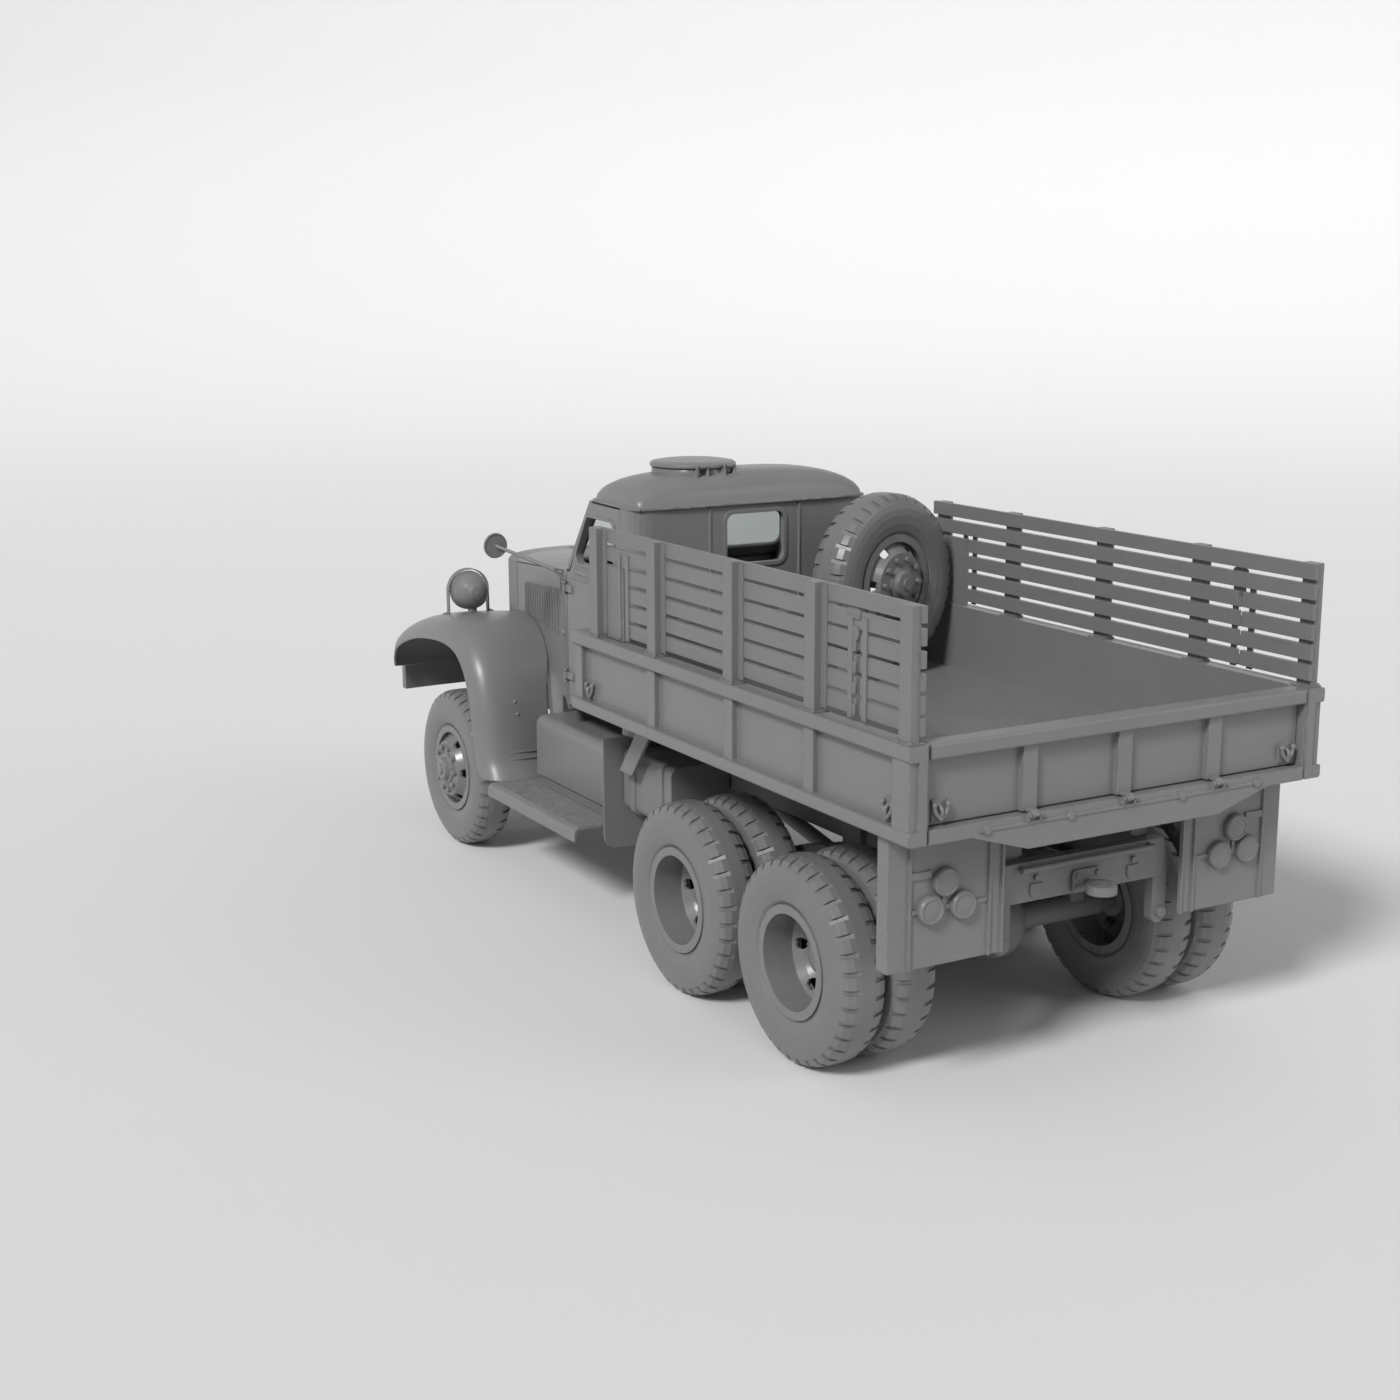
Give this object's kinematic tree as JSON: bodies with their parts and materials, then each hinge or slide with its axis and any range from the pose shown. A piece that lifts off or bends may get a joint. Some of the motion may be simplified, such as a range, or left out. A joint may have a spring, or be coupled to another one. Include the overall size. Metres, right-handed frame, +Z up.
{
  "type": "cargo truck",
  "caption": "Six-wheel-drive military cargo truck with a closed cab, butterfly hood, drop tailgate, slatted racks, twin rear wheels and a spare wheel in the bed.",
  "frame": {"origin": "on the ground under the middle of the truck's length and width", "axes": "+X forward along the length, +Y to the truck's left, +Z up"},
  "size_m": [6.5009, 2.438, 2.637],
  "materials": {
    "body_paint": "satin grey paint",
    "running_gear": "satin grey paint",
    "tyre": "grey rubber",
    "glass": "clear",
    "seat_cover": "matt"
  },
  "bodies": {
    "chassis": {"frame_rails": "body_paint", "crossmembers": "body_paint", "bumper": "body_paint", "front_axle": "running_gear", "bogie_axles": "running_gear", "springs": "running_gear", "engine": "running_gear", "driveline": "running_gear", "radiator": "body_paint", "hood_sides": "body_paint", "fenders": "body_paint", "cowl": "body_paint", "cab_floor": "body_paint", "cab_rear": "body_paint", "roof": "body_paint", "windscreen": "body_paint", "glass": "glass", "seat": "seat_cover", "controls": "running_gear", "side_mirror": "body_paint", "steps": "body_paint", "tool_boxes": "body_paint", "fuel_tanks": "body_paint", "body_bearers": "body_paint", "cargo_floor": "body_paint", "cargo_sides": "body_paint", "cargo_front": "body_paint", "rear_sill": "body_paint", "racks": "body_paint", "mud_flaps": "body_paint", "lamps": "body_paint", "towing_ring": "body_paint", "spare_carrier": "body_paint", "spare_tyre": "tyre", "spare_wheel": "body_paint"},
    "left_knuckle": {"knuckle_left": "running_gear"},
    "right_knuckle": {"knuckle_right": "running_gear"},
    "front_left_wheel": {"tyre_front_left": "tyre", "wheel_front_left": "body_paint"},
    "front_right_wheel": {"tyre_front_right": "tyre", "wheel_front_right": "body_paint"},
    "middle_left_wheels": {"tyres_middle_left": "tyre", "wheels_middle_left": "body_paint"},
    "middle_right_wheels": {"tyres_middle_right": "tyre", "wheels_middle_right": "body_paint"},
    "rear_left_wheels": {"tyres_rear_left": "tyre", "wheels_rear_left": "body_paint"},
    "rear_right_wheels": {"tyres_rear_right": "tyre", "wheels_rear_right": "body_paint"},
    "left_door": {"door_left": "body_paint"},
    "right_door": {"door_right": "body_paint"},
    "left_hood": {"hood_left": "body_paint"},
    "right_hood": {"hood_right": "body_paint"},
    "gate": {"tailgate": "body_paint"},
    "hatch": {"roof_hatch": "body_paint"}
  },
  "joints": [
    {"name": "steer_left", "type": "hinge", "parent": "chassis", "child": "left_knuckle", "pos_m": [2.0805, 0.86, 0.512], "axis": [0, 0, 1], "range_deg": [-30, 30]},
    {"name": "steer_right", "type": "hinge", "parent": "chassis", "child": "right_knuckle", "pos_m": [2.0805, -0.86, 0.512], "axis": [0, 0, 1], "range_deg": [-30, 30]},
    {"name": "spin_front_left", "type": "hinge", "parent": "left_knuckle", "child": "front_left_wheel", "pos_m": [2.0805, 0.987, 0.512], "axis": [0, 1, 0], "continuous": true},
    {"name": "spin_front_right", "type": "hinge", "parent": "right_knuckle", "child": "front_right_wheel", "pos_m": [2.0805, -0.987, 0.512], "axis": [0, 1, 0], "continuous": true},
    {"name": "spin_middle_left", "type": "hinge", "parent": "chassis", "child": "middle_left_wheels", "pos_m": [-1.1335, 0.94, 0.512], "axis": [0, 1, 0], "continuous": true},
    {"name": "spin_middle_right", "type": "hinge", "parent": "chassis", "child": "middle_right_wheels", "pos_m": [-1.1335, -0.94, 0.512], "axis": [0, 1, 0], "continuous": true},
    {"name": "spin_rear_left", "type": "hinge", "parent": "chassis", "child": "rear_left_wheels", "pos_m": [-2.2445, 0.94, 0.512], "axis": [0, 1, 0], "continuous": true},
    {"name": "spin_rear_right", "type": "hinge", "parent": "chassis", "child": "rear_right_wheels", "pos_m": [-2.2445, -0.94, 0.512], "axis": [0, 1, 0], "continuous": true},
    {"name": "door_left_hinge", "type": "hinge", "parent": "chassis", "child": "left_door", "pos_m": [0.9685, 0.788, 1.5], "axis": [0, 0, -1], "range_deg": [0, 70]},
    {"name": "door_right_hinge", "type": "hinge", "parent": "chassis", "child": "right_door", "pos_m": [0.9685, -0.788, 1.5], "axis": [0, 0, 1], "range_deg": [0, 70]},
    {"name": "hood_left_hinge", "type": "hinge", "parent": "chassis", "child": "left_hood", "pos_m": [1.2585, 0.022, 2.014], "axis": [0.9909, 0, -0.1344], "range_deg": [0, 65]},
    {"name": "hood_right_hinge", "type": "hinge", "parent": "chassis", "child": "right_hood", "pos_m": [1.2585, -0.022, 2.014], "axis": [-0.9909, 0, 0.1344], "range_deg": [0, 65]},
    {"name": "tailgate_hinge", "type": "hinge", "parent": "chassis", "child": "gate", "pos_m": [-3.2385, 0, 1.392], "axis": [0, -1, 0], "range_deg": [0, 90]},
    {"name": "roof_hatch_hinge", "type": "hinge", "parent": "chassis", "child": "hatch", "pos_m": [0.1465, 0.2, 2.615], "axis": [0, -1, 0], "range_deg": [0, 100]}
  ],
  "couplings": [
    {"joint": "steer_right", "follows": "steer_left", "ratio": 1}
  ]
}
